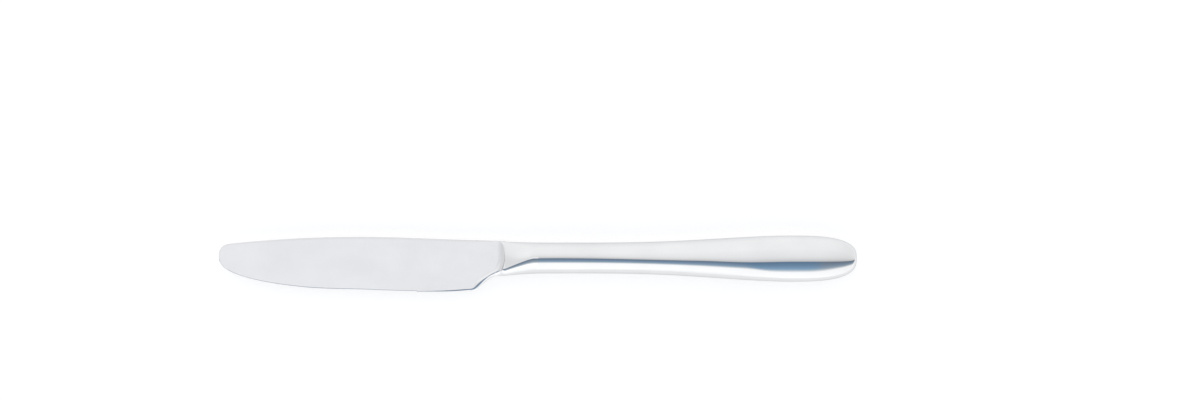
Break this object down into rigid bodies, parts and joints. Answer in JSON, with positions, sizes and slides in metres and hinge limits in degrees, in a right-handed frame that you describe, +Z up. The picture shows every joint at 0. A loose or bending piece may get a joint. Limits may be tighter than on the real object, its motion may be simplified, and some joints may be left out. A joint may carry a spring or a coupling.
{
  "type": "cocktail knife",
  "caption": "Small steel table knife with a rounded tip, a stepped heel, a curved shoulder and a slim polished hollow handle that swells to a rounded butt.",
  "frame": {"origin": "centre of the bottom of the knife's box, on the surface that the knife lies on", "axes": "+X along the knife from the tip to the butt, +Y from the cutting edge towards the spine, +Z up, square to the flat of the knife"},
  "size_m": [0.18, 0.0162, 0.008],
  "materials": {
    "blade_steel": "finely ground, bright",
    "handle_steel": "mirror polished",
    "braze": "polished flush",
    "cement": "matte"
  },
  "bodies": {
    "root": {"blade": "blade_steel", "handle_shell_front": "handle_steel", "handle_shell_back": "handle_steel", "seam_braze": "braze", "tang_cement": "cement"}
  },
  "joints": []
}
